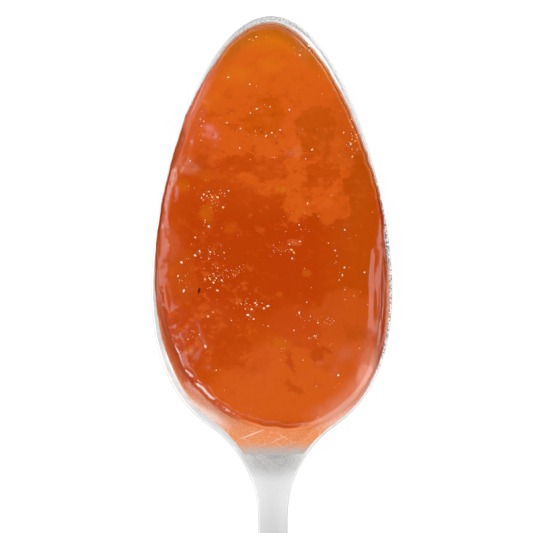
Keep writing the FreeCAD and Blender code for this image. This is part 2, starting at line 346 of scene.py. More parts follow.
def relief(x, y, at, inside):
    """What the small shapes add to the level, inside being the distance from the mass's edge."""
    coarse = bumps(x, y, 2.3, 4.5, 1.3)
    fine = bumps(x, y, 1.0, 2.4, 2.9)
    broken = bumps(x, y, 3.4, 5.5, 7.7)  # bends the lines of the steps, so that none is even

    # Crumbs and wrinkles stand about a millimetre inside the edge, on the left.
    crumbs = at["crumbs"] * (0.14 * coarse + 0.05 * fine) * ridge_line(inside, 1.1, 1.0)
    crumbs += 0.02 * (at["left"] + at["crumbs"]) * fine * max(1 - inside / 4.5, 0)
    wrinkled = 0.035 * at["left"] + 0.085 * at["lower left"]
    wrinkles = wrinkled * bumps(x, y, 0.9, 0.9, 5.9) * ridge_line(inside, 0.9, 1.0)

    # A ridge across the neck, a step along the right and another in the fold at the upper left.
    neck_ridge = at["neck"] * (0.14 + 0.10 * coarse) * ridge_line(inside, 0.7, 0.6)
    right_step = 0.30 * at["right"] * (1 - ease((inside - 1.35 - 0.5 * broken) / 0.95))
    fold_step = 0.24 * at["fold"] * (1 - ease(inside - 1.7 - 0.9 * broken))

    # Slow waves all over, and the fruit under the skin.
    waves = 0.05 * bumps(x, y, 8, 8, 4.4) + 0.02 * bumps(x, y, 2.8, 2.8, 6.1)
    raised = crumbs + wrinkles + neck_ridge + waves + mounds(x, y, LUMPS)
    return raised - right_step - fold_step - rounding(at, inside, coarse, broken)


middle_top = middle_level + relief(0, MIDDLE_Y, AT[0], 15)
print("top of the middle at", round(middle_top, 2), "mm")

# %% [markdown]
# ## One mesh for the mass and the film
# The jam is one closed skin of rings around the bowl's middle: over the mass, over the film, and
# back under both, a little way into the steel so that no gap shows. The mass ends in a side that
# rises from the film. It is steep from the tip round to the right, and steep and crumbled at the
# lower left. Each corner carries two numbers for the material: how deep the jam is there, and how
# far inside the mass's edge it lies.

# %% The side of the mass and the film
SIDE_SLOPE, SIDE_BLEND = 1.4, 0.28
THINNEST_MASS = 0.12


def film_thickness(at, share):
    """Thickness of the film, share being 0 at the mass's edge and 1 at the film's."""
    neck, left = at["neck film"], at["left film"]
    edge = 0.09 - 0.065 * neck - 0.04 * left * (1 - neck)
    bend = 0.7 + 0.9 * neck - 0.14 * left
    return edge + (0.52 - 0.32 * neck) * max(1 - share, 0) ** bend


def softly_lower(first, second, blend):
    """The lower of two heights, with the corner between them rounded."""
    difference = (first - second) / blend
    if difference > 30:
        return second
    return first - blend * math.log1p(math.exp(difference))


def mass_top(x, y, at, inside, level, steel):
    """Height of the mass: its level and relief, or its side where that is lower."""
    steep, crumbled = at["steep edge"], at["crumbled edge"]
    slope = SIDE_SLOPE + 1.2 * steep + 1.0 * crumbled
    foot = 0.1 + 0.5 * crumbled * (0.6 + bumps(x, y, 1.6, 1.6, 9.4))
    side = steel + film_thickness(at, 0) * (1 - 0.7 * steep)
    side += slope * (math.hypot(inside, foot) - foot)
    blend = SIDE_BLEND * (1 - 0.45 * steep)
    top = softly_lower(level + relief(x, y, at, inside), side, blend)
    return max(top, steel + THINNEST_MASS)


print("film at the mass's edge:", round(film_thickness(AT[STEPS // 3], 0), 2), "mm")

# %% Corners of the mass
MASS_RINGS, FILM_RINGS, UNDER_RINGS = 84, 14, 10
LEAST_DEPTH = 0.45  # the mass's foot takes the jam's colours and not the film's
NO_FILM = 1.0  # added to the depth where there is no film, so that a thin edge counts as thick

corners, depths, insets = [], [], []


def add_corner(x, y, z, at, depth, inset):
    """Adds a corner of the skin, with its two numbers for the material."""
    corners.append(Vector((x, y, z)) * MM)
    depths.append(depth + NO_FILM * (1 - at["with film"]))
    insets.append(inset)


edge_levels = []
for step in range(STEPS):
    reach, degrees = mass_reach[step] - LEVEL_INSET, 360 * step / STEPS
    edge = cad_level(*place(degrees, reach))
    edge_levels.append((edge, (edge - cad_level(*place(degrees, reach - 2))) / 2))


def level_at(step, reach, x, y):
    """The broad level. Near the edge it is carried on from further in."""
    beyond = reach - (mass_reach[step] - LEVEL_INSET)
    if beyond < 0:
        return cad_level(x, y)
    edge, rise = edge_levels[step]
    return edge + rise * beyond * (1 - beyond / (2 * LEVEL_INSET))


add_corner(0, MIDDLE_Y, middle_top, AT[0], middle_top - middle_steel, 20.0)
for ring in range(1, MASS_RINGS + 1):
    share = 1 - (1 - ring / MASS_RINGS) ** 1.5  # rings lie closer together towards the edge
    for step in range(STEPS):
        reach = mass_reach[step] * share
        x, y = place(360 * step / STEPS, reach)
        steel = steel_height(x, y)
        inside = MASS.find((x, y, 0))[2]
        top = mass_top(x, y, AT[step], inside, level_at(step, reach, x, y), steel)
        add_corner(x, y, top, AT[step], max(top - steel, LEAST_DEPTH), inside)
print("mass has", len(corners), "corners")

# %% Corners of the film and of the underside
SUNK = 0.1  # how far the underside reaches into the steel
OVERHANG = 0.06  # how far it reaches out under the film's edge

for ring in range(1, FILM_RINGS + 1):
    share = ring / FILM_RINGS
    for step in range(STEPS):
        beyond = (film_reach[step] - mass_reach[step]) * share
        x, y = place(360 * step / STEPS, mass_reach[step] + beyond)
        thick = film_thickness(AT[step], share)
        add_corner(x, y, steel_height(x, y) + thick, AT[step], thick, -beyond)
for ring in range(UNDER_RINGS):
    share = 1 - ring / UNDER_RINGS
    for step in range(STEPS):
        x, y = place(360 * step / STEPS, (film_reach[step] + OVERHANG) * share)
        add_corner(x, y, steel_height(x, y) - SUNK, AT[step], 0.0, 0.0)
add_corner(0, MIDDLE_Y, middle_steel - SUNK, AT[0], 0.0, 0.0)
print("whole skin has", len(corners), "corners")

# %% Faces between the rings
rings = MASS_RINGS + FILM_RINGS + UNDER_RINGS
after = [(step + 1) % STEPS for step in range(STEPS)]
faces = [(0, 1 + after[step], 1 + step) for step in range(STEPS)]
for ring in range(rings - 1):
    inner, outer = 1 + ring * STEPS, 1 + (ring + 1) * STEPS
    for step in range(STEPS):
        faces.append((inner + step, inner + after[step], outer + after[step], outer + step))
last, outer = len(corners) - 1, 1 + (rings - 1) * STEPS
faces += [(last, outer + step, outer + after[step]) for step in range(STEPS)]

jam_mesh = bpy.data.meshes.new("jam_surface")
jam_mesh.from_pydata(corners, [], faces)
jam_mesh.shade_smooth()
jam_mesh.attributes.new("depth", "FLOAT", "POINT").data.foreach_set("value", depths)
jam_mesh.attributes.new("inset", "FLOAT", "POINT").data.foreach_set("value", insets)
jam = bpy.data.objects.new("jam_surface", jam_mesh)
bpy.context.collection.objects.link(jam)
print("jam:", len(faces), "faces, first normal", jam_mesh.polygons[0].normal)

# %% [markdown]
# ## Small tools for materials
# Colours are written as they look on a screen, in sRGB hex, and turned into the linear numbers
# that the renderer works with. One short function adds a node, sets it and joins it up, which
# keeps the material code close to a recipe, and a second one lays a colour over another. Places
# come from Object coordinates, turned into millimetres, so that every pattern can be given its
# real size.

# %% Helpers for colours and nodes


def colour(code):
    """Linear red, green, blue and alpha of an sRGB hex colour."""
    values = [int(code[i : i + 2], 16) / 255 for i in (1, 3, 5)]
    linear = [v / 12.92 if v <= 0.04045 else ((v + 0.055) / 1.055) ** 2.4 for v in values]
    return (*linear, 1.0)


def add(tree, kind, inputs=(), output=0, **settings):
    """Adds a node and gives back one of its outputs. Inputs are values or outputs of others."""
    node = tree.nodes.new(kind)
    for name, value in settings.items():
        setattr(node, name, value)
    named = inputs if isinstance(inputs, dict) else dict(enumerate(inputs))
    for name, value in named.items():
        if isinstance(value, bpy.types.NodeSocket):
            tree.links.new(value, node.inputs[name])
        else:
            node.inputs[name].default_value = value
    return node.outputs[output]


def lay(tree, under, share, code, strength=1.0):
    """A colour laid over another, where share is 1 and as strongly as strength says."""
    share = add(tree, "ShaderNodeMath", (share, strength), operation="MULTIPLY")
    inputs = {0: share, 6: under, 7: colour(code)}
    return add(tree, "ShaderNodeMix", inputs, output=2, data_type="RGBA")


def new_material(name):
    """A material, its node tree, its main shader, and a socket with places in millimetres."""
    material = bpy.data.materials.new(name)
    material.use_nodes = True
    tree = material.node_tree
    objects = add(tree, "ShaderNodeTexCoord", output="Object")
    where = add(tree, "ShaderNodeVectorMath", (objects, (1 / MM,) * 3), operation="MULTIPLY")
    return material, tree, tree.nodes["Principled BSDF"], where


SMOOTH = {"interpolation_type": "SMOOTHSTEP"}  # a Map Range that turns softly at both ends
print("apricot in linear colour:", [round(value, 2) for value in colour("#DA5C12")])

# %% [markdown]
# ## Patches
# Real surfaces are uneven in ways that have a place: a tarnished spot, a dense piece of fruit, one
# long scratch. A patch is an oval with a soft edge, given in millimetres. Building it once as a
# node group keeps both materials short, and its ragged edge comes from bending the places with
# noise before they reach it.

# %% A patch as a node group
PATCH_INPUTS = {
    "Place": "Vector",
    "Centre": "Vector",
    "Size": "Vector",
    "Turn": "Float",
    "Soft": "Float",
}


def make_patch_group():
    """Measures how far a place is from an oval's centre, with the oval's size as 1."""
    group = bpy.data.node_groups.new("patch", "ShaderNodeTree")
    for name, kind in PATCH_INPUTS.items():
        group.interface.new_socket(name, in_out="INPUT", socket_type=f"NodeSocket{kind}")
    group.interface.new_socket("Share", in_out="OUTPUT", socket_type="NodeSocketFloat")
    given = group.nodes.new("NodeGroupInput").outputs
    target = group.nodes.new("NodeGroupOutput")
    inputs = (given["Place"], given["Centre"])
    offset = add(group, "ShaderNodeVectorMath", inputs, operation="SUBTRACT")
    flat = add(group, "ShaderNodeVectorMath", (offset, (1, 1, 0)), operation="MULTIPLY")
    inputs = {"Vector": flat, "Angle": given["Turn"]}
    turned = add(group, "ShaderNodeVectorRotate", inputs, rotation_type="Z_AXIS")
    scaled = add(group, "ShaderNodeVectorMath", (turned, given["Size"]), operation="DIVIDE")
    away = add(group, "ShaderNodeVectorMath", (scaled,), output="Value", operation="LENGTH")
    near = add(group, "ShaderNodeMath", (1.0, given["Soft"]), operation="SUBTRACT")
    far = add(group, "ShaderNodeMath", (1.0, given["Soft"]), operation="ADD")
    share = add(group, "ShaderNodeMapRange", (away, near, far, 1.0, 0.0), **SMOOTH)
    group.links.new(share, target.inputs["Share"])
    return group


PATCH = make_patch_group()


def patch(tree, where, across, along, wide, long, turn, soft):
    """1 inside an oval, 0 outside."""
    inputs = {
        "Place": where,
        "Centre": (across, along, 0),
        "Size": (wide, long, 1),
        "Turn": math.radians(turn),
        "Soft": soft,
    }
    return add(tree, "ShaderNodeGroup", inputs, output="Share", node_tree=PATCH)


print("patch group has", len(PATCH.nodes), "nodes")

# %% [markdown]
# ## Worn stainless steel
# The spoon is pressed from a sheet of chromium nickel steel, tumbled and polished, and then worn
# by years of cutlery drawers. Seen close, the polish is a mat of fine scratches in every
# direction, which makes the steel look pale grey and a little grainy rather than like a mirror.
# A rough metal with a fine bump does that. The real scratches are a few hundredths of a
# millimetre wide. Here the grain is some two tenths, as coarse as it has to be to show. Along the
# right and at the tip the lip is painted with dark grainy pits, partly wear and partly painted
# shade. At the lower left it is painted near white, a painted highlight. The handle is a shade
# darker, and across the neck the steel is painted darker as painted shade where the bowl curves
# into the neck.

# %% Grain and colour of the steel
STEEL_HIGHLIGHT_AND_TONE = (
    # across, along, wide, long, turn, soft, colour
    # The lip at the lower left, painted near white: a painted highlight.
    (-16.5, 40.0, 5.0, 14.0, 28, 0.3, "#FFF9F7"),
    (0.0, -45.0, 40.0, 62.0, 0, 0.08, "#DDDDDD"),
)
STEEL_GRAIN = 0.22
PIT_SPACING = 0.3

steel_finish, tree, shader, where = new_material("stainless_steel_worn_polish")
inputs = {"Vector": where, "Scale": 1 / STEEL_GRAIN, "Detail": 3.0, "Roughness": 0.7}
grain = add(tree, "ShaderNodeTexNoise", inputs)
tone = add(tree, "ShaderNodeMapRange", (grain, 0.3, 0.7, 0.0, 1.0), **SMOOTH)
steel_colour = lay(tree, colour("#EEEEEE"), tone, "#F4F4F4")
for *oval, code in STEEL_HIGHLIGHT_AND_TONE:
    steel_colour = lay(tree, steel_colour, patch(tree, where, *oval), code)
print(len(STEEL_HIGHLIGHT_AND_TONE), "patches on the steel")

# %% Painted shade across the neck, and pits that are partly painted shade
# A darker patch across the neck, mottled by the grain: painted shade where the bowl curves into
# the neck.
neck_shade = patch(tree, where, 0.0, 26.6, 4.2, 2.8, 0, 0.6)
uneven = add(tree, "ShaderNodeMath", (tone, -0.5, 0.9), operation="MULTIPLY_ADD")
neck_shade = add(tree, "ShaderNodeMath", (neck_shade, uneven), operation="MULTIPLY")
steel_colour = lay(tree, steel_colour, neck_shade, "#B4B0AE")

# Dark grainy pits along the right of the lip and at the tip: partly wear, partly painted shade.
tip_shade_and_wear = patch(tree, where, 0, 102.5, 13.0, 3.5, 0, 0.4)
tip_shade_and_wear = add(tree, "ShaderNodeMath", (tip_shade_and_wear, 0.4), operation="MULTIPLY")
lip_shade_and_wear = patch(tree, where, 21.5, 60.0, 4.5, 26.0, 0, 0.3)
shade_and_wear = add(tree, "ShaderNodeMath", (lip_shade_and_wear, tip_shade_and_wear), operation="MAXIMUM")
inputs = {"Vector": where, "Scale": 1 / PIT_SPACING, "Detail": 2.0, "Roughness": 0.6}
shaded_pits = add(tree, "ShaderNodeTexNoise", inputs)
shaded_pits = add(tree, "ShaderNodeMapRange", (shaded_pits, 0.56, 0.40, 0.0, 1.0), **SMOOTH)
shaded_pits = add(tree, "ShaderNodeMath", (shade_and_wear, shaded_pits), operation="MULTIPLY")
steel_colour = lay(tree, steel_colour, shaded_pits, "#6E6A6A", 0.85)
tree.links.new(steel_colour, shader.inputs["Base Color"])
print("steel has", len(tree.nodes), "nodes so far")

# %% Polish of the steel
inputs = {"Vector": where, "Angle": 0.55}
turned = add(tree, "ShaderNodeVectorRotate", inputs, rotation_type="Z_AXIS")
hatch = add(tree, "ShaderNodeVectorMath", (turned, (0.3, 5.0, 1.0)), operation="MULTIPLY")
hatch = add(tree, "ShaderNodeTexNoise", {"Vector": hatch, "Scale": 1.0, "Detail": 2.0})
polish = add(tree, "ShaderNodeMapRange", (hatch, 0.3, 0.7, 0.42, 0.54), **SMOOTH)
bump = add(tree, "ShaderNodeBump", {"Height": grain, "Strength": 0.2, "Distance": 0.04 * MM})
tree.links.new(polish, shader.inputs["Roughness"])
tree.links.new(bump, shader.inputs["Normal"])
shader.inputs["Metallic"].default_value = 1.0
for slot in spoon.material_slots:
    slot.material = steel_finish
print("steel on", len(spoon.material_slots), "slots")

# %% [markdown]
# ## Apricot jam
# Apricot jam is a clear orange jelly with cooked fruit pulp in it. Where the pulp is thin one
# looks deep into the jelly and sees a dark red orange; where it is dense it scatters the light
# near the top and looks paler and more yellow. Real transparency would be slow, and it wouldn't
# survive as a texture, so the material is opaque and paints what the light would do: a few broad
# tones, patches of denser pulp with ragged edges, and a thin film that lets the steel through.
# Each patch is one line with its place, size, turn, softness and colour, in millimetres. Ragged
# places are the plain ones, pushed about by a slow and a quick noise.

# %% Broad tones of the jelly
jam_finish, tree, shader, where = new_material("apricot_jam")
WANDER = (
    # patch size, how it is squeezed, detail, roughness, push in millimetres
    (3.4, (1, 1, 1), 3.0, 0.6, (5.5, 4.5, 0)),
    (1.0, (0.8, 1.25, 1), 4.0, 0.65, (2.8, 2.2, 0)),
)
ragged = where
for spacing, squeeze, detail, rough, push in WANDER:
    squeezed = add(tree, "ShaderNodeVectorMath", (where, squeeze), operation="MULTIPLY")
    inputs = {"Vector": squeezed, "Scale": 1 / spacing, "Detail": detail, "Roughness": rough}
    wander = add(tree, "ShaderNodeTexNoise", inputs, output="Color")
    wander = add(tree, "ShaderNodeVectorMath", (wander, (0.5, 0.5, 0.5)), operation="SUBTRACT")
    wander = add(tree, "ShaderNodeVectorMath", (wander, push), operation="MULTIPLY")
    ragged = add(tree, "ShaderNodeVectorMath", (ragged, wander), operation="ADD")

CLEAR, DEEP_AMBER, CLOUDY, PALE, AMBER = "#BB3D01", "#BD4901", "#DA5C12", "#D75E10", "#DB720B"
TONES = (
    # across, along, wide, long, turn, soft, colour, strength
    (0.0, 101.0, 24.0, 13.0, 0, 0.45, AMBER, 0.95),
    (0.0, 84.0, 22.0, 12.0, 0, 0.5, CLOUDY, 0.60),
    (15.5, 62.0, 5.5, 26.0, 0, 0.7, DEEP_AMBER, 0.9),
    (-18.5, 64.0, 3.5, 20.0, 0, 0.7, "#C84D0A", 0.6),
    (6.0, 33.0, 19.0, 15.0, 0, 0.55, PALE, 0.9),
)
jelly = colour(CLEAR)
for *oval, code, strength in TONES:
    jelly = lay(tree, jelly, patch(tree, where, *oval), code, strength)
print(len(TONES), "broad tones")

# %% Patches of denser and of clearer jelly
RAGGED_FROM = 2.5  # larger patches have ragged edges, smaller ones keep their place
PATCHES = (
    # across, along, wide, long, turn, soft, colour, strength
    # Dense pulp under the tip and down to a slanting edge.
    (-2.5, 86.5, 14.0, 10.5, 0, 0.10, CLOUDY, 0.75),
    (3.5, 77.5, 9.5, 4.6, -18, 0.10, CLOUDY, 0.80),
    (7.5, 72.2, 6.6, 3.4, -38, 0.10, CLOUDY, 0.85),
    (11.0, 69.4, 3.2, 2.4, -20, 0.12, CLOUDY, 0.70),
    (-13.0, 80.0, 4.0, 8.0, -12, 0.18, "#D05419", 0.6),
    (12.5, 83.0, 4.2, 7.5, 12, 0.15, "#CB5711", 0.6),
    # Clear islands in it.
    (-1.2, 85.2, 3.6, 3.4, 0, 0.10, "#CB5402", 0.85),
    (8.0, 83.0, 3.2, 4.2, 10, 0.08, "#C24F04", 0.9),
    (8.8, 74.8, 3.4, 2.4, 0, 0.10, "#C24A03", 0.9),
    (-5.9, 77.0, 3.2, 1.7, 0, 0.12, "#C34503", 0.85),
    (-0.4, 76.0, 3.2, 2.2, 0, 0.15, "#C64B08", 0.8),
    (-12.5, 74.5, 3.0, 4.0, 0, 0.2, "#C24502", 0.8),
    (15.3, 73.5, 1.8, 7.0, 8, 0.10, "#B94A02", 0.9),
    # Dense pulp at the neck end, with a slanting upper edge.
    (5.0, 37.5, 15.5, 9.5, 0, 0.07, "#D35919", 0.7),
    (12.5, 47.8, 6.4, 7.5, 0, 0.10, "#CB5315", 0.7),
    (4.2, 48.8, 4.6, 3.4, 20, 0.12, "#C5480E", 0.8),
    (-4.0, 43.5, 4.0, 3.2, -30, 0.10, "#CC5012", 0.7),
    # Reddish mottling at the lower left.
    (-11.5, 49.0, 5.0, 4.5, 0, 0.25, "#C24710", 0.6),
    (-7.0, 45.5, 3.2, 3.4, 0, 0.2, "#BF4303", 0.7),
    (-15.0, 57.5, 2.6, 5.0, 0, 0.25, "#C5500F", 0.6),
    # Clear spots and strokes near the neck end.
    (8.0, 44.6, 1.6, 1.3, 0, 0.2, "#BF4608", 0.9),
    (2.8, 43.2, 0.5, 2.2, -8, 0.3, "#BE4209", 0.7),
    (3.6, 38.6, 2.4, 0.9, 28, 0.3, "#C24C06", 0.8),
    (14.5, 47.8, 2.4, 1.4, 0, 0.3, "#BD4A06", 0.7),
    # Single pale and yellow bits of fruit.
    (-11.2, 68.5, 1.4, 1.6, 0, 0.7, "#D0640A", 0.6),
    (-15.3, 73.4, 1.1, 1.1, 0, 0.7, "#D0640A", 0.6),
    (-11.6, 75.6, 1.6, 1.5, 0, 0.7, "#CE5C0A", 0.5),
    (-7.0, 66.0, 1.0, 0.9, 0, 0.8, "#CC5C08", 0.45),
    (1.8, 72.7, 0.9, 0.5, 0, 0.6, "#DC7218", 0.7),
    (6.8, 70.2, 0.7, 0.5, 0, 0.6, "#DB6C1C", 0.7),
    (5.0, 68.8, 0.8, 0.4, 0, 0.4, "#D06414", 0.8),
    (3.9, 63.5, 1.3, 0.6, 10, 0.15, "#CF5624", 0.8),
    (1.3, 54.6, 0.5, 0.4, 0, 0.6, "#D46010", 0.6),
    (6.0, 58.2, 0.8, 0.6, 0, 0.5, "#CC5A10", 0.7),
    (-14.3, 44.8, 0.7, 0.7, 0, 0.5, "#D06C08", 0.6),
    (1.6, 46.0, 1.5, 1.0, 0, 0.6, "#CC600A", 0.7),
    (-5.5, 92.0, 2.4, 1.4, 0, 0.8, "#DF7610", 0.4),
    (0.2, 94.0, 2.6, 1.2, 0, 0.8, "#E07610", 0.4),
    (-10.8, 88.2, 2.2, 1.2, 0, 0.8, "#DE7010", 0.45),
    # Pinkish spots on four lumps of fruit: painted highlights.
    (-10.2, 82.3, 1.4, 1.3, 0, 0.5, "#DF6F5C", 0.75),
    (-14.3, 76.4, 1.5, 1.0, 0, 0.5, "#D87850", 0.5),
    (4.5, 79.1, 0.8, 1.1, 0, 0.6, "#DE7038", 0.6),
    (-17.3, 63.4, 1.6, 2.6, 0, 0.5, "#CE6238", 0.5),
)
for *oval, code, strength in PATCHES:
    wide, long = oval[2:4]
    start = ragged if wide + long > RAGGED_FROM else where
    jelly = lay(tree, jelly, patch(tree, start, *oval), code, strength)
print(len(PATCHES), "patches")

# %% [markdown]
# ## Fibres, a speck and the edge of the jam
# Cooked apricot falls apart in fibres, which mottle the jelly where it is dense. Along its edge
# the mass is thin and curved: light comes up through it, and it mirrors the pale room. That makes
# bands of colour which follow the edge, so they are painted by the distance from it, each on its
# own side of the bowl, and streaked. Lamps alone could make the bright ones, but the rounding is
# too narrow to catch a lamp evenly all along.

# %% Fibres and one dark speck
FIBRES = 1.9
fibres = add(tree, "ShaderNodeVectorMath", (where, (0.85, 1.15, 1)), operation="MULTIPLY")
inputs = {"Vector": fibres, "Scale": 1 / FIBRES, "Detail": 6.0, "Roughness": 0.72}
fibres = add(tree, "ShaderNodeTexNoise", inputs)
left_patch = patch(tree, ragged, -9.5, 51.0, 8.0, 13.0, 0, 0.4)
tip_patch = patch(tree, ragged, 0.0, 77.0, 15.0, 12.0, 0, 0.4)
mottled = add(tree, "ShaderNodeMath", (left_patch, tip_patch), operation="MAXIMUM")
mottled = add(tree, "ShaderNodeMath", (mottled, 0.45, 0.15), operation="MULTIPLY_ADD")
for start, end, code in ((0.52, 0.64, "#D9601C"), (0.48, 0.36, "#B84203")):
    thread = add(tree, "ShaderNodeMapRange", (fibres, start, end, 0.0, 1.0), **SMOOTH)
    thread = add(tree, "ShaderNodeMath", (thread, mottled), operation="MULTIPLY")
    jelly = lay(tree, jelly, thread, code)
speck = patch(tree, where, -12.55, 55.3, 0.22, 0.5, 12, 0.4)
jelly = lay(tree, jelly, speck, "#4A1206", 0.9)
print("pale and dark fibres, and a speck")

# %% Painted light and shade in bands along the edge
STREAKS = 0.7
inset = add(tree, "ShaderNodeAttribute", output="Fac", attribute_name="inset")
streaks = add(tree, "ShaderNodeVectorMath", (where, (1.0, 0.25, 1)), operation="MULTIPLY")
inputs = {"Vector": streaks, "Scale": 1 / STREAKS, "Detail": 3.0, "Roughness": 0.5}
streaks = add(tree, "ShaderNodeTexNoise", inputs)
EDGE_LIGHT_AND_SHADE = (
    # across, along, wide, long, turn, soft, from inset, to inset, colour, strength
    # At the tip: a darker band inside the edge, and a pale painted glow of light through the edge.
    # At the upper right the same painted glow. At the upper left and at the lower right: pinkish
    # painted reflections of the lamps. At the lower right corner: a pale painted highlight over
    # the shaded side. In the neck: a darker band inside the edge.
    (0.0, 101.0, 13.0, 9.0, 0, 0.3, 2.8, 1.3, "#B85C0C", 0.7),
    (0.0, 101.0, 15.0, 11.0, 0, 0.3, 0.65, 0.2, "#EBA878", 0.75),
    (14.0, 84.0, 9.0, 14.0, 0, 0.3, 0.75, 0.1, "#EE9A4C", 0.6),
    (-16.0, 81.0, 6.0, 15.0, 14, 0.25, 1.7, 0.7, "#E08262", 0.7),
    (15.0, 37.5, 9.0, 8.0, 0, 0.3, 4.0, 0.8, "#DF8462", 0.75),
    (13.0, 36.0, 8.5, 9.0, 0, 0.3, 1.3, 0.6, "#F2AE94", 0.8),
    (0.0, 28.0, 9.0, 5.0, 0, 0.3, 2.4, 1.2, "#B34602", 0.6),
)
for *oval, start, end, code, strength in EDGE_LIGHT_AND_SHADE:
    band = add(tree, "ShaderNodeMapRange", (inset, start, end, 0.0, 1.0), **SMOOTH)
    band = add(tree, "ShaderNodeMath", (band, patch(tree, ragged, *oval)), operation="MULTIPLY")
    inputs = (streaks, 0.3, 0.6, 0.6 * strength, strength)
    streaked = add(tree, "ShaderNodeMapRange", inputs, **SMOOTH)
    jelly = lay(tree, jelly, band, code, streaked)
print(len(EDGE_LIGHT_AND_SHADE), "bands")

# %% Painted highlights: broken glints along the lower left edge
GLINT_PIECES = 1.7
inputs = {"Vector": where, "Scale": 1 / GLINT_PIECES, "Detail": 4.0, "Roughness": 0.6}
pieces = add(tree, "ShaderNodeTexNoise", inputs)
painted_glints = patch(tree, where, -13.5, 41.0, 8.5, 10.5, 0, 0.25)
for value, start, end in ((inset, 0.05, 0.25), (inset, 0.95, 0.6), (pieces, 0.46, 0.56)):
    part = add(tree, "ShaderNodeMapRange", (value, start, end, 0.0, 1.0), **SMOOTH)
    painted_glints = add(tree, "ShaderNodeMath", (painted_glints, part), operation="MULTIPLY")
jelly = lay(tree, jelly, painted_glints, "#FFEDE6")
print("glints ready")

# %% [markdown]
# ## The film on the steel
# A film of jam a few tenths of a millimetre thick stains the steel: deep orange next to the mass,
# peach where it is thinnest, with the scratches and the grain of the steel showing through. The
# mesh carries its own thickness as an attribute, so the material only has to read it and look the
# colour up on a ramp. Thin film is also less smooth than the mass, since it lies on worn steel.

# %% Colour of the film by its thickness
FULL_FILM = 0.6  # the thickness at the dark end of the ramp
FILM_STOPS = ((0.12, "#F4D2C6"), (0.2, "#E6A78E"), (0.3, "#DA8A62"))
FILM_STOPS += ((0.45, "#CE6E42"), (0.65, "#C65A24"), (1.0, "#BE4E1C"))

depth = add(tree, "ShaderNodeAttribute", output="Fac", attribute_name="depth")
inputs = (depth, 0.0, FULL_FILM, 0.0, 1.0)
fullness = add(tree, "ShaderNodeMapRange", inputs, interpolation_type="LINEAR")
film = add(tree, "ShaderNodeValToRGB", (fullness,))
stops = film.node.color_ramp.elements  # a new ramp has two, at 0 and at 1
stops[0].position = FILM_STOPS[0][0]
for position, _ in FILM_STOPS[1:-1]:
    stops.new(position)
for stop, (_, code) in zip(stops, FILM_STOPS):
    stop.color = colour(code)
print("ramp of", len(stops), "colours")

# %% Sides where the film looks different
FILM_PATCHES = (
    # across, along, wide, long, turn, soft, colour, strength
    (-17.0, 47.5, 2.6, 9.0, 24, 0.4, "#B84813", 0.45),
    # At the lower right the film is painted pale pinkish white: a painted highlight.
    (14.0, 36.5, 8.5, 8.5, 0, 0.3, "#F2B09A", 0.7),
    (0.0, 27.5, 13.0, 6.2, 0, 0.3, "#EC8E52", 1.0),
)
for *oval, code, strength in FILM_PATCHES:
    film = lay(tree, film, patch(tree, where, *oval), code, strength)

# Painted shade in a dark gutter along the right, from 1.1 mm outside the mass's edge to just
# inside it.
gutter_shade = patch(tree, where, 19.0, 54.0, 3.5, 13.0, 0, 0.2)
for start, end in ((-1.1, -0.7), (0.2, -0.1)):
    part = add(tree, "ShaderNodeMapRange", (inset, start, end, 0.0, 1.0), **SMOOTH)
    gutter_shade = add(tree, "ShaderNodeMath", (gutter_shade, part), operation="MULTIPLY")
film = lay(tree, film, gutter_shade, "#9E3202", 0.8)
print(len(FILM_PATCHES), "patches and a gutter in the film")

# %% Grain and scratches of the steel under the film
GRAIN_SEEN = 0.3
SCRATCHES = (
    # across, along, length, width, turn, strength
    (-3.4, 30.6, 4.3, 0.20, -20, 0.8),
    (0.8, 29.6, 2.6, 0.14, -24, 0.5),
    (2.2, 29.9, 3.0, 0.12, 30, 0.5),
    (3.2, 28.9, 2.4, 0.12, -28, 0.45),
    (1.4, 28.6, 2.2, 0.12, 35, 0.45),
    (-1.5, 28.8, 2.0, 0.12, -15, 0.4),
)
thin = add(tree, "ShaderNodeMapRange", (depth, 0.45, 0.2, 0.0, 1.0), **SMOOTH)
inputs = {"Vector": where, "Scale": 1 / GRAIN_SEEN, "Detail": 3.0, "Roughness": 0.7}
seen = add(tree, "ShaderNodeTexNoise", inputs)
for start, end, code, strength in ((0.5, 0.75, "#F4D9C2", 0.55), (0.5, 0.28, "#D0733C", 0.5)):
    grains = add(tree, "ShaderNodeMapRange", (seen, start, end, 0.0, 1.0), **SMOOTH)
    grains = add(tree, "ShaderNodeMath", (grains, thin), operation="MULTIPLY")
    film = lay(tree, film, grains, code, strength)
for across, along, length, width, turn, strength in SCRATCHES:
    line = patch(tree, where, across, along, length / 2, width / 2, turn, 0.3)
    line = add(tree, "ShaderNodeMath", (line, thin), operation="MULTIPLY")
    film = lay(tree, film, line, "#F7DCC4", strength)
print(len(SCRATCHES), "scratches")

# %% End of the film in the neck, and the jam's gloss
along = add(tree, "ShaderNodeSeparateXYZ", (where,), output="Y")
fray = add(tree, "ShaderNodeMath", (seen, 0.5), operation="SUBTRACT")
along = add(tree, "ShaderNodeMath", (fray, 6.0, along), operation="MULTIPLY_ADD")
# At its end the film fades into the grey of the steel under the neck's painted shade.
ending = add(tree, "ShaderNodeMapRange", (along, 29.2, 27.4, 0.0, 1.0), **SMOOTH)
film = lay(tree, film, ending, "#BAB4B1")
whole = add(tree, "ShaderNodeMapRange", (depth, 0.5, 0.95, 0.0, 1.0), **SMOOTH)
both = add(tree, "ShaderNodeMix", {0: whole, 6: film, 7: jelly}, output=2, data_type="RGBA")
gloss = add(tree, "ShaderNodeMapRange", (thin, 0.0, 1.0, 0.13, 0.34), **SMOOTH)
bump = add(tree, "ShaderNodeBump", {"Height": fibres, "Strength": 0.5, "Distance": 0.03 * MM})
tree.links.new(both, shader.inputs["Base Color"])
tree.links.new(gloss, shader.inputs["Roughness"])
tree.links.new(bump, shader.inputs["Normal"])
shader.inputs["IOR"].default_value = 1.46  # sugar syrup
jam_mesh.materials.append(jam_finish)
print("jam has", len(tree.nodes), "nodes")
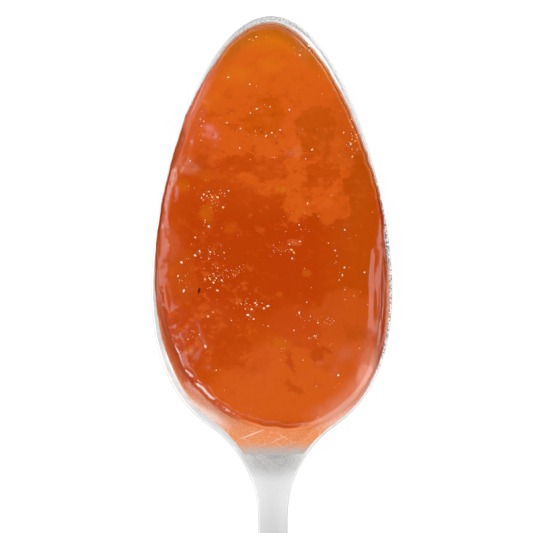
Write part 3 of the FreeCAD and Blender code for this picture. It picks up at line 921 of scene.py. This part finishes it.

# %% [markdown]
# ## Air bubbles
# Stirring and spooning trap small bubbles of air at the top of the jam. They lie in loose drifts,
# and each one is a small dome that catches the lamps, painted white or yellowish as well: a
# painted glint. Placing them by hand would be dull and modelling them one by one wasteful, so this
# is a job
# for Geometry Nodes: points scattered over the jam where an attribute allows them, with one small
# dome repeated on every point. Most are under a tenth of a millimetre in radius, and a few are up
# to twice as large.

# %% Where the bubbles gather
DRIFTS = (
    # across, along, spread across, spread along, amount
    (-10.0, 71.3, 2.0, 1.5, 0.8), (-11.6, 66.3, 1.3, 1.2, 0.6), (-11.4, 61.6, 2.2, 1.2, 0.7),
    (-9.2, 57.4, 1.9, 1.6, 1.0), (-6.4, 58.7, 1.4, 0.9, 0.8), (2.2, 62.3, 2.0, 1.0, 0.8),
    (5.0, 65.3, 1.5, 1.4, 0.4), (-3.4, 52.8, 2.2, 0.6, 1.2), (-3.5, 50.5, 0.8, 0.5, 1.2),
    (5.0, 50.8, 0.6, 0.6, 1.2), (8.6, 50.1, 2.0, 0.6, 1.3), (7.6, 47.3, 0.5, 0.4, 1.6),
    (1.5, 45.1, 0.5, 0.5, 1.6), (11.8, 59.2, 1.0, 2.4, 0.35), (-0.3, 82.4, 2.2, 0.5, 0.3),
    (-2.4, 86.0, 1.6, 0.8, 0.25), (5.4, 96.8, 1.3, 1.0, 0.7), (-3.6, 98.8, 1.5, 0.5, 0.6),
    (-15.0, 57.0, 1.0, 1.0, 0.4), (14.2, 83.0, 0.7, 3.0, 0.5), (-12.0, 83.8, 0.7, 2.4, 0.25),
    (-8.0, 69.8, 0.9, 0.3, 1.5), (0.6, 62.5, 0.4, 0.4, 2.0), (10.3, 45.9, 0.3, 0.3, 2.0),
    (-0.9, 49.2, 0.3, 0.3, 2.0), (13.0, 80.2, 1.0, 1.6, 0.3), (-13.5, 47.0, 1.5, 3.0, 0.12),
)
BACKGROUND = 0.012  # amount everywhere between the drifts
DEEP_ENOUGH = 1.2  # bubbles show in the mass only

amounts = [
    BACKGROUND + mounds(corner.x / MM, corner.y / MM, DRIFTS) if depth > DEEP_ENOUGH else 0.0
    for corner, depth in zip(corners, depths)
]
jam_mesh.attributes.new("bubbly", "FLOAT", "POINT").data.foreach_set("value", amounts)
print(len(DRIFTS), "drifts of bubbles")

# %% Bubble finish
glint_paint, tree, shader, where = new_material("bubble_painted_glint")
tint = add(tree, "ShaderNodeAttribute", output="Fac", attribute_name="tint")
# The pale white and yellow colour of each dome is a painted glint.
tree.links.new(lay(tree, colour("#FFFBE4"), tint, "#F6B040"), shader.inputs["Base Color"])
shader.inputs["Roughness"].default_value = 0.12
print("bubble finish ready")

# %% A node group that scatters bubbles
group = bpy.data.node_groups.new("scatter_bubbles", "GeometryNodeTree")
SCATTER_INPUTS = {
    "Geometry": "Geometry",
    "Amount": "Float",
    "Smallest": "Float",
    "Largest": "Float",
    "Seed": "Int",
}
sockets = {}
for name, kind in SCATTER_INPUTS.items():
    kind = f"NodeSocket{kind}"
    sockets[name] = group.interface.new_socket(name, in_out="INPUT", socket_type=kind)
group.interface.new_socket("Geometry", in_out="OUTPUT", socket_type="NodeSocketGeometry")
given = group.nodes.new("NodeGroupInput").outputs
target = group.nodes.new("NodeGroupOutput")


def random_number(seed_step, low=0.0, high=1.0):
    """A number of its own for each bubble. Every use steps the seed on."""
    seed = add(group, "ShaderNodeMath", (given["Seed"], float(seed_step)), operation="ADD")
    inputs = {2: low, 3: high, "Seed": seed}
    return add(group, "FunctionNodeRandomValue", inputs, output=1, data_type="FLOAT")


print("inputs of the group:", list(sockets))

# %% Points, sizes and domes
inputs = {"Name": "bubbly"}
allowed = add(group, "GeometryNodeInputNamedAttribute", inputs, data_type="FLOAT")
density = add(group, "ShaderNodeMath", (allowed, given["Amount"]), operation="MULTIPLY")
inputs = {"Mesh": given["Geometry"], "Density": density, "Seed": given["Seed"]}
points = add(group, "GeometryNodeDistributePointsOnFaces", inputs)
upright = points.node.outputs["Rotation"]

rarely_big = add(group, "ShaderNodeMath", (random_number(1), 5.0), operation="POWER")
inputs = (given["Largest"], given["Smallest"])
spread = add(group, "ShaderNodeMath", inputs, operation="SUBTRACT")
inputs = (rarely_big, spread, given["Smallest"])
radius = add(group, "ShaderNodeMath", inputs, operation="MULTIPLY_ADD")
inputs = (radius, random_number(2, 1.0, 1.9))
longer = add(group, "ShaderNodeMath", inputs, operation="MULTIPLY")
flatter = add(group, "ShaderNodeMath", (radius, 0.7), operation="MULTIPLY")
scale = add(group, "ShaderNodeCombineXYZ", (radius, longer, flatter))
inputs = {"Axis": (0, 0, 1), "Angle": random_number(3, -1.2, 0.3)}
spin = add(group, "FunctionNodeAxisAngleToRotation", inputs)
inputs = {"Rotation": upright, "Rotate By": spin}
turn = add(group, "FunctionNodeRotateRotation", inputs, rotation_space="LOCAL")

dome = add(group, "GeometryNodeMeshUVSphere", {"Segments": 8, "Rings": 5, "Radius": 1.0})
dome = add(group, "GeometryNodeSetShadeSmooth", {"Geometry": dome})
inputs = {"Points": points, "Instance": dome, "Rotation": turn, "Scale": scale}
copies = add(group, "GeometryNodeInstanceOnPoints", inputs)
tinted = {"Geometry": copies, "Name": "tint", "Value": random_number(4)}
per_copy = {"data_type": "FLOAT", "domain": "INSTANCE"}
tinted = add(group, "GeometryNodeStoreNamedAttribute", tinted, **per_copy)
real = add(group, "GeometryNodeRealizeInstances", {"Geometry": tinted})
finished = add(group, "GeometryNodeSetMaterial", {"Geometry": real, "Material": glint_paint})
group.links.new(finished, target.inputs["Geometry"])
print("scatter group has", len(group.nodes), "nodes")

# %% Scatter the bubbles over the jam
PER_SQUARE_METRE = 4.5e6  # where the amount is 1
values = {
    "Amount": PER_SQUARE_METRE,
    "Smallest": 0.045 * MM,
    "Largest": 0.20 * MM,
    "Seed": 11,
}
host = bpy.data.objects.new("bubbles_host", jam_mesh)
bpy.context.collection.objects.link(host)
modifier = host.modifiers.new("scatter", "NODES")
modifier.node_group = group
for name, value in values.items():
    modifier[sockets[name].identifier] = value
evaluated = host.evaluated_get(bpy.context.evaluated_depsgraph_get())
bubble_mesh = bpy.data.meshes.new_from_object(evaluated)
bubble_mesh.name = "bubbles"
bpy.data.objects.remove(host)
bubbles = bpy.data.objects.new("bubbles", bubble_mesh)
bpy.context.collection.objects.link(bubbles)
print("bubbles:", len(bubble_mesh.polygons) // 40, "with", len(bubble_mesh.polygons), "faces")

# %% [markdown]
# ## Joining the pieces to the frame
# Every visible piece rides on the CAD's one body. The fine jam surface stands for the CAD jam,
# which is hidden, and the bubbles are extra.

# %% Attach each piece to the frame's body, and hide the CAD jam
for piece in (jam, bubbles):
    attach(piece, "root")
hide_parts("jam")

# %% [markdown]
# ## Table, light and camera
# The spoon lies on a plain white sheet, with soft boxes all round it: tall ones to the left and
# right, wide ones beyond the tip and the handle, and small ones at two corners for the short
# highlights. Straight above it stays dim, so that the level jam keeps its full colour, and only
# its sloping edges mirror the boxes as pinkish white bands. The sheet has to look pure white
# from above while it still takes the spoon's shadow, so a part of its white is from the lamps
# and the rest is its own.

# %% The sheet it lies on
SHEET_SIZE = 3
LIT_WHITE, OWN_WHITE = 0.35, 0.73

bpy.ops.mesh.primitive_plane_add(size=SHEET_SIZE)
floor = bpy.context.object
floor.name = "floor"
paper = bpy.data.materials.new("white_paper")
paper.use_nodes = True
tree = paper.node_tree
tree.nodes.clear()
to_camera = add(tree, "ShaderNodeLightPath", output="Is Camera Ray")
mirrored = to_camera.node.outputs["Is Glossy Ray"]
shown = add(tree, "ShaderNodeMath", (mirrored, 0.5, to_camera), operation="MULTIPLY_ADD")
glow = add(tree, "ShaderNodeMath", (shown, OWN_WHITE), operation="MULTIPLY")
lit = add(tree, "ShaderNodeBsdfDiffuse", {"Color": (LIT_WHITE, LIT_WHITE, LIT_WHITE, 1)})
own = add(tree, "ShaderNodeEmission", {"Strength": glow})
both = add(tree, "ShaderNodeAddShader", (lit, own))
surface = tree.nodes.new("ShaderNodeOutputMaterial")
tree.links.new(both, surface.inputs["Surface"])
floor.data.materials.append(paper)
print("floor ready")

# %% Soft boxes
AIM = Vector((0, 0.06, 0.01))
BOXES = (
    # name, place, width and length in metres, and how bright the face is
    ("left_box", (-0.335, 0.03, 0.445), 0.115, 0.46, 3.1),
    ("left_low_box", (-0.47, 0.16, 0.29), 0.09, 0.42, 5.4),
    ("right_box", (0.38, 0.0, 0.40), 0.19, 0.48, 3.0),
    ("far_box", (0.0, 0.38, 0.56), 0.50, 0.16, 1.4),
    ("near_box", (0.05, -0.32, 0.43), 0.45, 0.13, 2.6),
    ("near_corner_box", (-0.27, -0.24, 0.38), 0.065, 0.065, 20.0),
    ("far_corner_box", (0.33, 0.38, 0.27), 0.15, 0.15, 6.5),
)
for name, stand, wide, long, radiance in BOXES:
    lamp = bpy.data.lights.new(name, "AREA")
    lamp.shape = "RECTANGLE"
    lamp.size, lamp.size_y = wide, long
    lamp.energy = radiance * math.pi * wide * long
    box = bpy.data.objects.new(name, lamp)
    box.location = stand
    box.rotation_euler = (AIM - Vector(stand)).to_track_quat("-Z", "Y").to_euler()
    box.visible_camera = False
    bpy.context.collection.objects.link(box)
print("lights:", [light.name for light in bpy.data.lights])

# %% A pale room that is dim straight above
ROOM, ABOVE_SPOON = 0.38, 0.03

world = bpy.data.worlds.new("studio")
bpy.context.scene.world = world
world.use_nodes = True
tree = world.node_tree
toward = add(tree, "ShaderNodeTexCoord", output="Generated")
upwards = add(tree, "ShaderNodeSeparateXYZ", (toward,), output="Z")
strength = add(tree, "ShaderNodeMapRange", (upwards, 0.92, 0.98, ROOM, ABOVE_SPOON), **SMOOTH)
tree.nodes["Background"].inputs["Color"].default_value = (1, 1, 1, 1)
tree.links.new(strength, tree.nodes["Background"].inputs["Strength"])
print("room ready")

# %% Camera straight above the bowl
CAMERA_UP = 0.60  # metres above the jam
JAM_LEVEL = 0.010
SEEN_WIDTH = 0.0918  # metres of the jam's level that fill the picture's width
SENSOR = 36

lens = bpy.data.cameras.new("camera")
lens.sensor_width = SENSOR
lens.lens = SENSOR * CAMERA_UP / SEEN_WIDTH
camera = bpy.data.objects.new("camera", lens)
camera.location = (-0.00092, 0.0594, JAM_LEVEL + CAMERA_UP)
camera.rotation_euler = (0, 0, math.radians(-0.25))
bpy.context.collection.objects.link(camera)
bpy.context.scene.camera = camera
bpy.context.scene.view_settings.view_transform = "Standard"
print("camera lens", round(lens.lens, 1), "mm")
